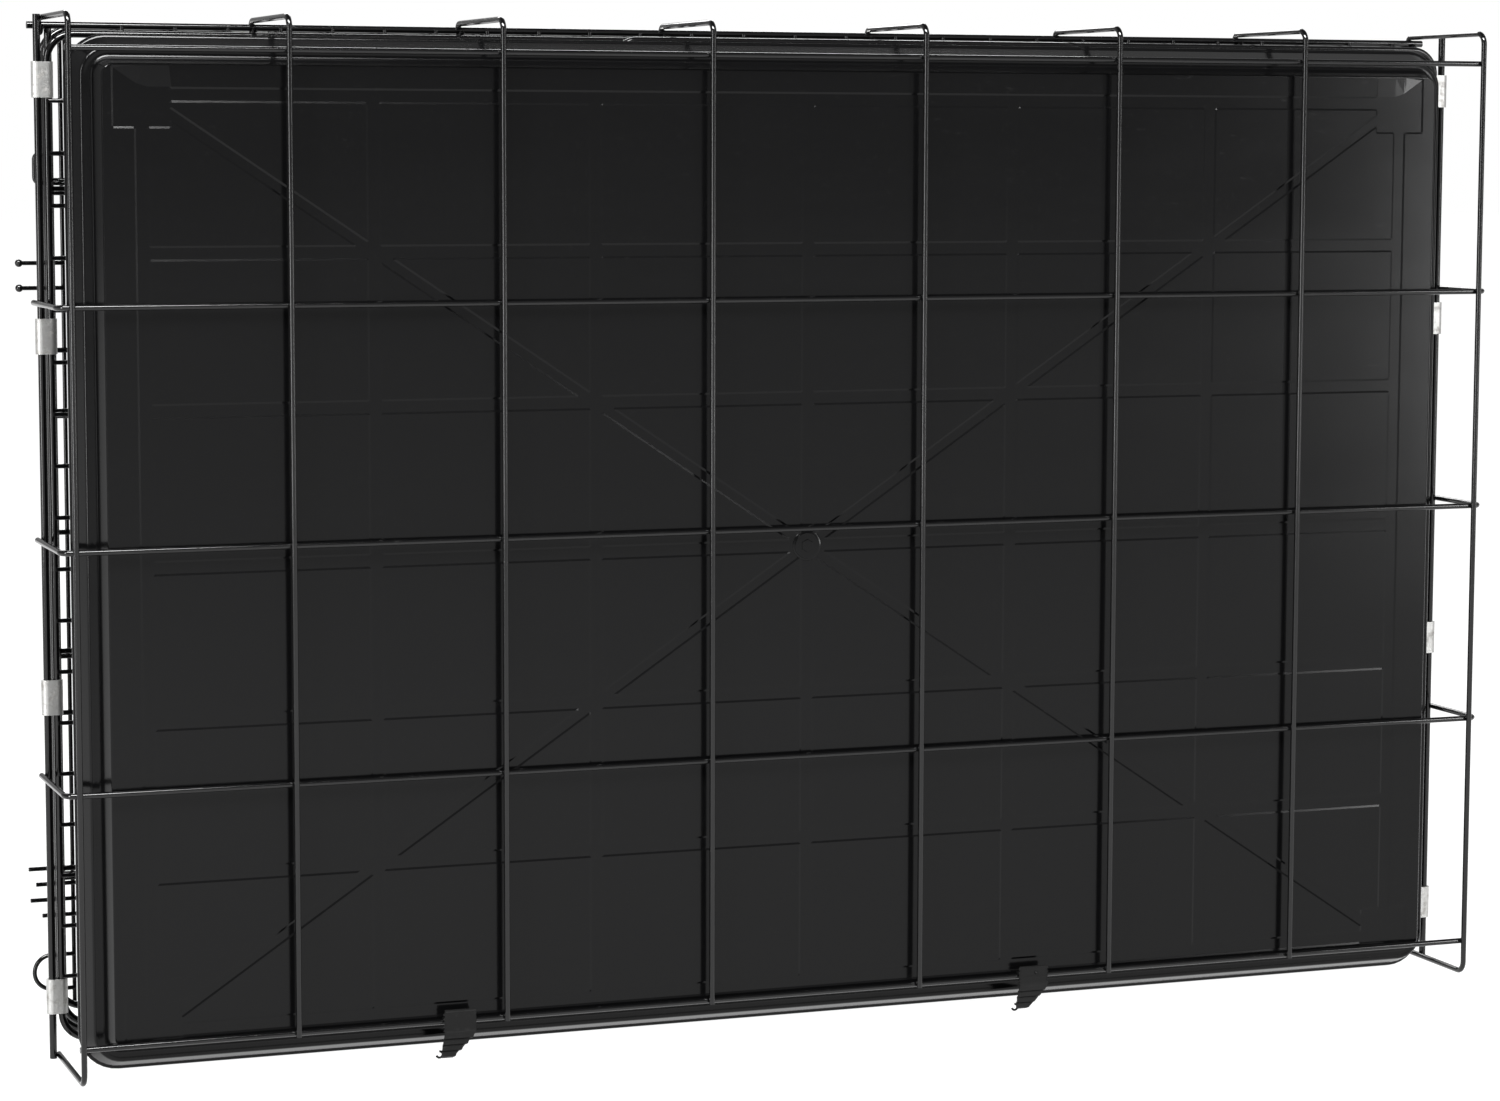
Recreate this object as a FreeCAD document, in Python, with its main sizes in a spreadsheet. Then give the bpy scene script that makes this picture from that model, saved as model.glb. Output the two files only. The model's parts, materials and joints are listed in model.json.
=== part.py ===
import FreeCAD, Part
import Sketcher
import os

doc = FreeCAD.newDocument("dog_crate")
sheet = doc.addObject("Spreadsheet::Sheet", "Sizes")
V = FreeCAD.Vector

# Driving sizes in millimetres, then positions that follow from them.
SIZES = [
    ("base_length", "1067"), ("base_width", "711"), ("grid_wire", "4"), ("frame_rod", "5"),
    ("upright_wire", "3"), ("long_wire", "3.6"), ("weld_bite", "0.2"), ("bend_radius", "8"),
    ("corner_radius", "18"), ("running_gap", "0.4"), ("sleeve_wall", "1.2"), ("sleeve_length", "24"),
    ("right_end_depth", "70"), ("left_end_depth", "95"), ("stack_depth", "108"), ("stack_step", "12"),
    ("side_short", "27"), ("top_short", "22"), ("front_short", "36"), ("end_height", "655"),
    ("top_drop", "7"), ("rod_pitch", "6.5"), ("panel_inset", "14"), ("end_margin", "13"),
    ("pan_inset", "20.5"), ("pan_low", "5"), ("pan_gap", "3"), ("pan_depth", "32"), ("pan_wall", "3"),
    ("pan_top_gap", "17"), ("pan_aside", "6"), ("lip_rod", "6"), ("channel_width", "9"),
    ("channel_depth", "1"),
    ("bottom_row", "25.4"), ("door_sill", "90.9"), ("door_head", "102.1"), ("door_rod", "4.4"),
    ("bolt_rod", "5"), ("bolt_length", "92"), ("clip_width", "22"), ("clip_wall", "2"),
    ("cross_y", "=grid_wire / 2"),
    ("row_y", "=grid_wire * 1.5 - weld_bite"),
    ("rim_x", "=base_length / 2 - (grid_wire + frame_rod) / 2 + weld_bite"),
    ("end_x", "=rim_x - (grid_wire + frame_rod) / 2 + weld_bite"),
    ("pivot_x", "=rim_x - rod_pitch"),
    ("top_z", "=base_width - grid_wire / 2"),
    ("loop_radius", "=frame_rod / 2 + running_gap + grid_wire / 2"),
    ("hinge_z", "=top_z - loop_radius"),
    ("side_x", "=base_length / 2 - panel_inset"),
    ("side_height", "=base_width - side_short"),
    ("top_width", "=base_width - top_short"),
    ("front_height", "=base_width - front_short"),
    ("back_low", "=hinge_z - side_height"),
    ("top_y", "=stack_depth + stack_step"),
    ("front_y", "=stack_depth + stack_step * 2"),
    ("top_low", "=back_low - top_drop"),
    ("front_hinge_z", "=top_low + top_width"),
    ("front_low", "=front_hinge_z - front_height"),
    ("door_low", "=front_low + door_sill"),
    ("door_high", "=front_hinge_z - door_head"),
    ("end_low", "=end_margin"),
    ("end_high", "=base_width - end_margin"),
    ("upright_step", "=(frame_rod + upright_wire) / 2 - weld_bite"),
    ("long_step", "=upright_step - (upright_wire + long_wire) / 2 + weld_bite"),
    ("pan_y", "=row_y + grid_wire / 2 + pan_gap"),
    ("pan_high", "=base_width - pan_top_gap"),
    ("pan_half", "=base_length / 2 - pan_inset"),
    ("door_y", "=front_y + upright_step + (upright_wire + door_rod) / 2 + running_gap"),
    ("guide_radius", "=bolt_rod / 2 + 2.8"),
    ("bolt_y", "=door_y + door_rod / 2 + upright_wire + guide_radius - weld_bite - 0.1"),
    ("knob_reach", "15"),
    ("depth_middle", "=(bolt_y + bolt_rod / 2 + knob_reach + upright_wire * 1.2) / 2"),
]
FRACTIONS = [0, 0.139, 0.279, 0.422, 0.573, 0.716, 0.858, 1]
ROWS = [0.276, 0.503, 0.729, 0.966]
for number, fraction in enumerate(FRACTIONS):
    SIZES.append(("cross_x%d" % number, "=end_x * (2 * %s - 1)" % fraction))
SIZES.append(("row_z0", "=bottom_row"))
for number, fraction in enumerate(ROWS):
    SIZES.append(("row_z%d" % (number + 1), "=base_width * %s" % fraction))
for line, (alias, text) in enumerate(SIZES, start=1):
    sheet.set("A%d" % line, alias)
    sheet.set("B%d" % line, text)
    sheet.setAlias("B%d" % line, alias)
doc.recompute()
WORDS = sorted([alias for alias, text in SIZES], key=len, reverse=True)


def formula(text):
    """Point every size word in a formula at the sheet."""
    out = []
    word = ""
    for letter in str(text) + " ":
        if letter.isalnum() or letter in "_.":
            word += letter
            continue
        out.append("Sizes." + word if word in WORDS else word)
        out.append(letter)
        word = ""
    return "".join(out).strip()


def bind(thing, **formulas):
    for key, text in formulas.items():
        thing.setExpression(key, formula(text))


def seat(thing, x, y, z):
    """Place a piece, with y measured from the front wires and the origin half way through the depth."""
    for key, text in (("x", x), ("y", "%s - depth_middle" % y), ("z", z)):
        thing.setExpression("Placement.Base." + key, formula(text))


TURNS = {
    "Z": FreeCAD.Rotation(),
    "X": FreeCAD.Rotation(V(0, 1, 0), 90),
    "Y": FreeCAD.Rotation(V(1, 0, 0), -90),
}


def wire(axis, x, y, z, length, thickness):
    """A straight wire that starts at x, y, z and runs along an axis."""
    rod = doc.addObject("Part::Cylinder", "wire")
    rod.Placement = FreeCAD.Placement(V(), TURNS[axis])
    bind(rod, Radius="%s / 2" % thickness, Height=length)
    seat(rod, x, y, z)
    return rod


def bend(x, y, z, start, side, radius, thickness, sweep=90):
    """An arc of wire about x, y, z, from the start direction towards the side direction."""
    arc = doc.addObject("Part::Torus", "bend")
    first = V(*start)
    second = V(*side)
    arc.Placement = FreeCAD.Placement(V(), FreeCAD.Rotation(first, second, first.cross(second), "XYZ"))
    arc.Angle3 = sweep
    bind(arc, Radius1=radius, Radius2="%s / 2" % thickness)
    seat(arc, x, y, z)
    return arc


def box(x, y, z, length, width, height):
    block = doc.addObject("Part::Box", "block")
    bind(block, Length=length, Width=width, Height=height)
    seat(block, x, y, z)
    return block


def join(things, name="join"):
    whole = doc.addObject("Part::MultiFuse", name)
    whole.Shapes = things
    return whole


def cut(base, tool, name="cut"):
    rest = doc.addObject("Part::Cut", name)
    rest.Base = base
    rest.Tool = tool
    return rest


NODES = []


def node(name, things):
    group = doc.addObject("Part::Compound", name)
    group.Label = name
    group.Links = things
    NODES.append(group)
    return group


def frame(x0, x1, z0, z1, y, radius="corner_radius", thickness="frame_rod"):
    """A rod bent into an upright rectangle with rounded corners."""
    wide = "(%s) - (%s) - 2 * %s" % (x1, x0, radius)
    tall = "(%s) - (%s) - 2 * %s" % (z1, z0, radius)
    left = "%s + %s" % (x0, radius)
    right = "%s - %s" % (x1, radius)
    low = "%s + %s" % (z0, radius)
    high = "%s - %s" % (z1, radius)
    return [
        wire("X", left, y, z0, wide, thickness),
        wire("X", left, y, z1, wide, thickness),
        wire("Z", x0, y, low, tall, thickness),
        wire("Z", x1, y, low, tall, thickness),
        bend(left, y, low, (-1, 0, 0), (0, 0, -1), radius, thickness),
        bend(right, y, low, (0, 0, -1), (1, 0, 0), radius, thickness),
        bend(right, y, high, (1, 0, 0), (0, 0, 1), radius, thickness),
        bend(left, y, high, (0, 0, 1), (-1, 0, 0), radius, thickness),
    ]


def sleeve(x, y, z, apart_y, apart_z, axis, turn=0.0):
    """A sheet metal strip wrapped round two parallel rods, one fixed and one free to turn."""
    tool = {}
    for part, extra in (("outer", "running_gap + sleeve_wall"), ("inner", "running_gap")):
        size = "(frame_rod / 2 + %s)" % extra
        tight = size if part == "outer" else "frame_rod / 2"
        over = 0 if part == "outer" else 1
        span = "hypot(%s; %s)" % (apart_y, apart_z)
        first = doc.addObject("Part::Cylinder", "round")
        second = doc.addObject("Part::Cylinder", "round")
        middle = doc.addObject("Part::Box", "middle")
        for rod, radius in ((first, tight), (second, size)):
            bind(rod, Radius=radius, Height="sleeve_length + %d" % (2 * over))
        first.setExpression("Placement.Base.z", formula("-sleeve_length / 2 - %d" % over))
        second.setExpression("Placement.Base.z", formula("-sleeve_length / 2 - %d" % over))
        second.setExpression("Placement.Base.x", formula(span))
        bind(middle, Length=span, Width="2 * %s" % size, Height="sleeve_length + %d" % (2 * over))
        middle.setExpression("Placement.Base.z", formula("-sleeve_length / 2 - %d" % over))
        middle.setExpression("Placement.Base.y", formula("-%s" % size))
        tool[part] = join([first, second, middle], part)
    shell = cut(tool["outer"], tool["inner"], "sleeve")
    if axis == "Z":
        shell.Placement = FreeCAD.Placement(V(), FreeCAD.Rotation(V(0, 0, 1), turn))
    else:
        lying = FreeCAD.Rotation(V(0, 1, 0), V(0, 0, 1), V(1, 0, 0), "XYZ")
        shell.Placement = FreeCAD.Placement(V(), FreeCAD.Rotation(V(1, 0, 0), turn).multiply(lying))
    seat(shell, x, y, z)
    return shell


# Base: short wires in front, bent back at the top to the loops that carry the back side.
cross = []
loops = []
for number in range(8):
    x = "cross_x%d" % number
    is_end = number in (0, 7)
    low = "grid_wire / 2 + bend_radius" if is_end else "bottom_row - grid_wire / 2"
    cross.append(wire("Z", x, "cross_y", low, "top_z - bend_radius - (%s)" % low, "grid_wire"))
    cross.append(bend(x, "cross_y + bend_radius", "top_z - bend_radius", (0, -1, 0), (0, 0, 1),
                      "bend_radius", "grid_wire"))
    cross.append(wire("Y", x, "cross_y + bend_radius", "top_z",
                      "stack_depth - cross_y - bend_radius", "grid_wire"))
    if is_end:
        cross.append(bend(x, "cross_y + bend_radius", "grid_wire / 2 + bend_radius", (0, -1, 0),
                          (0, 0, -1), "bend_radius", "grid_wire"))
        cross.append(wire("Y", x, "cross_y + bend_radius", "grid_wire / 2",
                          "left_end_depth + frame_rod / 2 - cross_y - bend_radius", "grid_wire"))
    for start, side in (((0, 0, 1), (0, 1, 0)), ((0, 1, 0), (0, 0, -1)), ((0, 0, -1), (0, -1, 0))):
        loops.append(bend(x, "stack_depth", "hinge_z", start, side, "loop_radius", "grid_wire"))
node("base_cross_wires", cross)
node("base_hinge_loops", loops)

# Base: long wires behind them; the middle three bend back to the end rims.
rows = []
for number in range(5):
    z = "row_z%d" % number
    if number in (0, 4):
        rows.append(wire("X", "-end_x - grid_wire / 2", "row_y", z, "2 * end_x + grid_wire", "grid_wire"))
        continue
    rows.append(wire("X", "-base_length / 2 + bend_radius", "row_y", z,
                     "base_length - 2 * bend_radius", "grid_wire"))
    for side, depth in ((-1, "left_end_depth"), (1, "right_end_depth")):
        rows.append(bend("%d * (base_length / 2 - bend_radius)" % side, "row_y + bend_radius", z,
                         (0, -1, 0), (side, 0, 0), "bend_radius", "grid_wire"))
        rows.append(wire("Y", "%d * base_length / 2" % side, "row_y + bend_radius", z,
                         "%s + frame_rod / 2 - row_y - bend_radius" % depth, "grid_wire"))
node("base_long_wires", rows)
BAR_PLACE = "end_low + 44.5 + (end_high - end_low - 89) * %s / 17"
for name, side, depth in (("left", -1, "left_end_depth"), ("right", 1, "right_end_depth")):
    node("base_%s_rim" % name, [wire("Z", "%d * rim_x" % side, depth, "0", "base_width", "frame_rod")])
    wraps = []
    for z in ("end_low + 30.5", BAR_PLACE % 5.5, BAR_PLACE % 12.5, "end_high - 30.5"):
        wraps.append(sleeve("%d * rim_x" % side, depth, z, "rod_pitch", "0", "Z", 0 if side < 0 else 180))
    node("%s_end_sleeves" % name, wraps)

# End panels, folded inwards behind the pan, one behind the other.
for name, side, depth in (("left", -1, "left_end_depth"), ("right", 1, "right_end_depth")):
    near = "%d * pivot_x" % side
    far = "%d * (pivot_x - end_height)" % side
    low_x, high_x = (near, far) if side < 0 else (far, near)
    node("%s_end_frame" % name, frame(low_x, high_x, "end_low", "end_high", depth))
    bars = []
    for number in range(18):
        bars.append(wire("X", low_x, "%s - upright_step" % depth, BAR_PLACE % number, "end_height",
                         "upright_wire"))
    node("%s_end_uprights" % name, bars)
    ties = []
    for share in (0.2, 0.4, 0.6, 0.8):
        ties.append(wire("Z", "%s + end_height * %s" % (low_x, share), "%s - long_step" % depth,
                         "end_low + frame_rod / 2 - weld_bite",
                         "end_high - end_low - frame_rod + 2 * weld_bite", "long_wire"))
    node("%s_end_long_wires" % name, ties)

# Back side: its hinge rod turns in the loops and the rest hangs from it.
half = "side_x"
wide = "2 * (side_x - corner_radius)"
node("back_hinge_rod", [wire("X", "-base_length / 2", "stack_depth", "hinge_z", "base_length", "frame_rod")])
tall = "hinge_z - back_low - corner_radius - frame_rod / 2 + weld_bite"
node("back_frame", [
    wire("X", "-side_x + corner_radius", "stack_depth", "back_low", wide, "frame_rod"),
    wire("Z", "-side_x", "stack_depth", "back_low + corner_radius", tall, "frame_rod"),
    wire("Z", "side_x", "stack_depth", "back_low + corner_radius", tall, "frame_rod"),
    bend("-side_x + corner_radius", "stack_depth", "back_low + corner_radius", (-1, 0, 0), (0, 0, -1),
         "corner_radius", "frame_rod"),
    bend("side_x - corner_radius", "stack_depth", "back_low + corner_radius", (0, 0, -1), (1, 0, 0),
         "corner_radius", "frame_rod"),
])


def upright_places():
    """Four uprights in each bay between the base's short wires, clear of every hinge."""
    for bay in range(7):
        for step in (0.125, 0.375, 0.625, 0.875):
            yield bay, "cross_x%d + (cross_x%d - cross_x%d) * %s" % (bay, bay + 1, bay, step)


def side_panel(name, y, low, high, side):
    """Uprights and long wires of a side that has no doorway."""
    bars = []
    for bay, x in upright_places():
        bars.append(wire("Z", x, "%s + %d * upright_step" % (y, side), low, "(%s) - (%s)" % (high, low),
                         "upright_wire"))
    node(name + "_uprights", bars)
    ties = []
    for share in (0.16, 0.38, 0.62, 0.84):
        ties.append(wire("X", "-side_x + frame_rod / 2 - weld_bite", "%s + %d * long_step" % (y, side),
                         "%s + (%s - %s) * %s" % (low, high, low, share),
                         "2 * side_x - frame_rod + 2 * weld_bite", "long_wire"))
    node(name + "_long_wires", ties)


side_panel("back", "stack_depth", "back_low", "hinge_z", -1)
node("back_top_sleeves", [
    sleeve("cross_x%d" % number, "stack_depth", "back_low", "stack_step", "top_drop", "X", -30.256)
    for number in (1, 3, 4, 6)
])

# Top panel and the sleeves at its far edge.
node("top_frame", frame("-side_x", "side_x", "top_low", "front_hinge_z", "top_y"))
side_panel("top", "top_y", "top_low", "front_hinge_z", -1)
node("top_front_sleeves", [
    sleeve("cross_x%d" % number, "top_y", "front_hinge_z", "stack_step", "0", "X") for number in (1, 3, 4, 6)
])

# Front side, with a doorway in its three middle bays.
node("front_frame", frame("-side_x", "side_x", "front_low", "front_hinge_z", "front_y"))
bars = []
for bay, x in upright_places():
    y = "front_y + upright_step"
    if bay in (2, 3, 4):
        bars.append(wire("Z", x, y, "front_low", "door_low - front_low", "upright_wire"))
        bars.append(wire("Z", x, y, "door_high", "front_hinge_z - door_high", "upright_wire"))
    else:
        bars.append(wire("Z", x, y, "front_low", "front_hinge_z - front_low", "upright_wire"))
node("front_uprights", bars)
ties = []
y = "front_y + long_step"
reach = "frame_rod / 2 - weld_bite"
for share in (0.24, 0.5, 0.76):
    z = "door_low + (door_high - door_low) * %s" % share
    ties.append(wire("X", "-side_x + " + reach, y, z, "cross_x2 + side_x - " + reach, "long_wire"))
    ties.append(wire("X", "cross_x5", y, z, "side_x - cross_x5 - " + reach, "long_wire"))
for z in ("door_low", "door_high"):
    ties.append(wire("X", "-side_x + " + reach, y, z, "2 * side_x - 2 * (%s)" % reach, "long_wire"))
node("front_long_wires", ties)
posts = []
for x in ("cross_x2", "cross_x5"):
    posts.append(wire("Z", x, "front_y + upright_step", "front_low", "front_hinge_z - front_low",
                      "upright_wire"))
node("front_door_posts", posts)
hooks = []
light_bite = "(frame_rod + upright_wire) / 2 - 0.1"
for x in ("cross_x3 - 10", "cross_x3 + 10", "cross_x5 - 42", "cross_x5 - 62"):
    hooks.append(wire("Z", x, "front_y + %s" % light_bite, "front_low - 9", "12", "upright_wire"))
    hooks.append(bend(x, "front_y + %s - 3.5" % light_bite, "front_low - 9", (0, 1, 0), (0, 0, -1),
                      "3.5", "upright_wire", 120))
node("front_hooks", hooks)

# Latch wires that stand out past the ends of the front side.
latches = []
y = "front_y - (%s)" % light_bite
for side in (-1, 1):
    for z in ("front_hinge_z - 104", "front_hinge_z - 84"):
        latches.append(wire("X", "%d * (side_x - 9) - 12" % side, y, z, "24", "upright_wire"))
    latches.append(bend("%d * (side_x + 3)" % side, y, "front_hinge_z - 88", (0, 0, 1), (side, 0, 0), "4",
                        "upright_wire"))
    latches.append(wire("Z", "%d * (side_x + 7)" % side, y, "front_hinge_z - 100", "12", "upright_wire"))
    latches.append(bend("%d * (side_x + 3)" % side, y, "front_hinge_z - 100", (side, 0, 0), (0, 0, -1),
                        "4", "upright_wire"))
    for number, reach in enumerate((10, 18, 14, 19)):
        latches.append(wire("X", "%d * (side_x + %s) - 16" % (side, reach - 16), y,
                            "front_low + 66 + %d" % (11 * number), "32", "upright_wire"))
    for number in range(2):
        place = "%d * (side_x + 2) - 14" % side
        z = "front_hinge_z - 175 + %d" % (17 * number)
        latches.append(wire("X", place, y, z, "28", "upright_wire"))
        ball = doc.addObject("Part::Sphere", "ball")
        bind(ball, Radius="upright_wire * 0.9")
        seat(ball, "%d * (side_x + 18.5)" % side, y, z)
        latches.append(ball)
    latches.append(bend("%d * (side_x + 4)" % side, y, "front_low + 26", (0, 0, 1), (side, 0, 0), "12",
                        "upright_wire", 180))
    for z in ("front_low + 14", "front_low + 38"):
        latches.append(wire("X", "%d * (side_x - 4) - 8" % side, y, z, "16", "upright_wire"))
node("front_end_latches", latches)

# Side door, hinged on its own left rod, lying over the doorway.
door_x0 = "cross_x2 - 6"
door_x1 = "cross_x5 + 6"
node("door_frame", frame(door_x0, door_x1, "door_low - 8", "door_high + 8", "door_y", "corner_radius",
                         "door_rod"))
bars = []
for number in range(1, 13):
    bars.append(wire("Z", "%s + (%s - (%s)) * %d / 13" % (door_x0, door_x1, door_x0, number),
                     "door_y + (door_rod + upright_wire) / 2 - weld_bite", "door_low - 8",
                     "door_high - door_low + 16", "upright_wire"))
node("door_uprights", bars)
ties = []
for share in (0.26, 0.5, 0.74):
    ties.append(wire("X", "%s + door_rod / 2 - weld_bite" % door_x0,
                     "door_y + (door_rod - long_wire) / 2 + 0.1",
                     "door_low + (door_high - door_low) * %s" % share,
                     "%s - (%s) - door_rod + 2 * weld_bite" % (door_x1, door_x0), "long_wire"))
node("door_long_wires", ties)
rings = []
ring_radius = "(door_rod / 2 + running_gap + upright_wire / 2)"
for share in (0.12, 0.42, 0.88):
    z = "door_low + (door_high - door_low) * %s" % share
    rings.append(wire("X", door_x0, "front_y + upright_step", z, "6 - upright_wire / 2",
                      "upright_wire"))
    for start, side in (((0, -1, 0), (-1, 0, 0)), ((-1, 0, 0), (0, 1, 0)), ((0, 1, 0), (1, 0, 0))):
        rings.append(bend(door_x0, "door_y", z, start, side, ring_radius, "upright_wire"))
node("door_hinge_rings", rings)

# Slide bolts drawn back on the door, their guides, and the catches on the front side.
guides = []
catches = []
bore = "(bolt_rod + 2 * running_gap)"
for name, share in (("lower", 0.2), ("upper", 0.8)):
    z = "door_low + (door_high - door_low) * %s" % share
    slide = wire("X", "%s - 88" % door_x1, "bolt_y", z, "bolt_length", "bolt_rod")
    lever = wire("Y", "%s - 66" % door_x1, "bolt_y + bolt_rod / 2 - 1", z, "knob_reach + 1", "upright_wire")
    knob = doc.addObject("Part::Sphere", "knob")
    bind(knob, Radius="upright_wire * 1.2")
    seat(knob, "%s - 66" % door_x1, "bolt_y + bolt_rod / 2 + knob_reach", z)
    node("bolt_" + name, [join([slide, lever, knob], "bolt")])
    for back in (79, 41):
        outer = wire("X", "%s - %d" % (door_x1, back), "bolt_y", z, "9", "(2 * guide_radius)")
        inner = wire("X", "%s - %d" % (door_x1, back + 1), "bolt_y", z, "11", bore)
        guides.append(cut(outer, inner, "guide"))
    outer = wire("X", "%s + 9" % door_x1, "bolt_y", z, "8", "(2 * guide_radius)")
    inner = wire("X", "%s + 8" % door_x1, "bolt_y", z, "10", bore)
    foot = box("%s + 9" % door_x1, "front_y + upright_step + upright_wire / 2 - 0.1", "%s - 3" % z, "8",
               "bolt_y - front_y - upright_step - upright_wire / 2 - bolt_rod / 2 - 1", "6")
    catches.append(cut(join([outer, foot], "catch"), inner, "catch"))
node("bolt_guides", guides)
node("bolt_catches", catches)

# Pan: a shallow tray with a rolled lip and channels in its floor, open towards the panels.
def rectangle(body, name, width, height):
    """A sketched rectangle with one corner on the body's origin."""
    sketch = body.newObject("Sketcher::SketchObject", name)
    plane = [item for item in body.Origin.OriginFeatures if item.Role == "XZ_Plane"][0]
    sketch.AttachmentSupport = [(plane, "")]
    sketch.MapMode = "FlatFace"
    corners = [V(0, 0, 0), V(100, 0, 0), V(100, 80, 0), V(0, 80, 0)]
    for index in range(4):
        sketch.addGeometry(Part.LineSegment(corners[index], corners[(index + 1) % 4]), False)
    for index in range(4):
        sketch.addConstraint(Sketcher.Constraint("Coincident", index, 2, (index + 1) % 4, 1))
    sketch.addConstraint(Sketcher.Constraint("Horizontal", 0))
    sketch.addConstraint(Sketcher.Constraint("Horizontal", 2))
    sketch.addConstraint(Sketcher.Constraint("Vertical", 1))
    sketch.addConstraint(Sketcher.Constraint("Vertical", 3))
    sketch.addConstraint(Sketcher.Constraint("Coincident", 0, 1, -1, 1))
    for key, kind, text in (("wide", "DistanceX", width), ("tall", "DistanceY", height)):
        edge = 0 if kind == "DistanceX" else 1
        index = sketch.addConstraint(Sketcher.Constraint(kind, edge, 1, edge, 2, 80))
        sketch.renameConstraint(index, key)
        sketch.setExpression("Constraints." + key, formula(text))
    return sketch


pan_body = doc.addObject("PartDesign::Body", "pan_body")
outline = rectangle(pan_body, "pan_outline", "2 * pan_half", "pan_high - pan_low")
block = pan_body.newObject("PartDesign::Pad", "pan_block")
block.Profile = outline
block.Reversed = True
bind(block, Length="pan_depth")
doc.recompute()
upright_edges = []
for index, edge in enumerate(block.Shape.Edges, start=1):
    span = edge.Vertexes[0].Point - edge.Vertexes[-1].Point
    if abs(span.x) < 0.01 and abs(span.z) < 0.01:
        upright_edges.append("Edge%d" % index)
rounded = pan_body.newObject("PartDesign::Fillet", "pan_corners")
rounded.Base = (block, upright_edges)
bind(rounded, Radius="corner_radius * 1.4")
doc.recompute()
back_face = max(range(len(rounded.Shape.Faces)), key=lambda i: rounded.Shape.Faces[i].CenterOfMass.y)
tray = pan_body.newObject("PartDesign::Thickness", "pan_tray")
tray.Base = (rounded, ["Face%d" % (back_face + 1)])
tray.Reversed = True
bind(tray, Value="pan_wall")
pan_body.Tip = tray
seat(pan_body, "-pan_half - pan_aside", "pan_y", "pan_low")
doc.recompute()
lip_y = "pan_y + pan_depth - lip_rod / 2"
lip = frame("-pan_half - pan_aside", "pan_half - pan_aside", "pan_low", "pan_high", lip_y,
            "corner_radius * 1.4", "lip_rod")
channels = []
for share in (0.048, 0.198, 0.349, 0.5, 0.651, 0.802, 0.952):
    x = "pan_half * (2 * %s - 1) - pan_aside - channel_width / 2" % share
    channels.append(box(x, "pan_y - 1", "pan_low + 30", "channel_width", "channel_depth + 1",
                        "pan_high - pan_low - 60"))
for share in (0.052, 0.201, 0.351, 0.5, 0.649, 0.799, 0.948):
    z = "pan_low + (pan_high - pan_low) * %s - channel_width / 2" % share
    channels.append(box("-pan_half - pan_aside + 30", "pan_y - 1", z, "2 * pan_half - 60",
                        "channel_depth + 1", "channel_width"))
channels.append(wire("Y", "-pan_aside", "pan_y - 1", "(pan_low + pan_high) / 2", "channel_depth + 1", "52"))
node("pan", [cut(join([pan_body] + lip, "pan_shell"), join(channels, "pan_channels"), "pan_cut")])

# Two clips that turn on the base's lowest rod and press on the pan.
for name, place in (("left", "cross_x1 + (cross_x2 - cross_x1) * 0.77"),
                    ("right", "cross_x4 + (cross_x5 - cross_x4) * 0.6")):
    x = "%s - clip_width / 2" % place
    barrel = wire("X", x, "row_y", "bottom_row", "clip_width",
                  "(grid_wire + 2 * running_gap + 2 * clip_wall)")
    hole = wire("X", "%s - 1" % x, "row_y", "bottom_row", "clip_width + 2", "(grid_wire + 2 * running_gap)")
    tongue = box(x, "row_y - grid_wire / 2 - running_gap - clip_wall", "3", "clip_width", "clip_wall",
                 "bottom_row - 3")
    hook = box("%s + clip_width * 0.25" % x, "row_y - grid_wire / 2 - running_gap - clip_wall", "2",
               "clip_width * 0.5", "8", "clip_wall")
    ribs = []
    for number in range(4):
        ribs.append(box(x, "row_y - grid_wire / 2 - running_gap - clip_wall - 0.8",
                        "6 + %s" % (number * 3.4), "clip_width", "1.6", "1.5"))
    node("pan_clip_" + name, [cut(join([barrel, tongue, hook] + ribs, "clip"), hole, "clip_cut")])

doc.recompute()
bad = []
for thing in doc.Objects:
    if "Invalid" in thing.State or "Error" in thing.State:
        bad.append(thing.Name)
    if hasattr(thing, "Shape") and thing.TypeId.startswith("Part::"):
        if thing.Shape.isNull():
            bad.append(thing.Name)
for group in NODES:
    if not group.Shape.isValid():
        bad.append(group.Label)
if bad:
    raise RuntimeError("these pieces failed: " + ", ".join(bad[:20]))
os.makedirs("parts", exist_ok=True)
for group in NODES:
    group.Shape.exportStep("parts/%s.step" % group.Label)
    print(group.Label, len(group.Shape.Solids), round(group.Shape.Volume))
everything = Part.makeCompound([group.Shape for group in NODES])
print(everything.BoundBox)
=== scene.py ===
"""A folded wire dog crate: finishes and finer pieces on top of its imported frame."""
import json
import math

import bpy
import bmesh
from mathutils import Matrix, Vector


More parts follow.
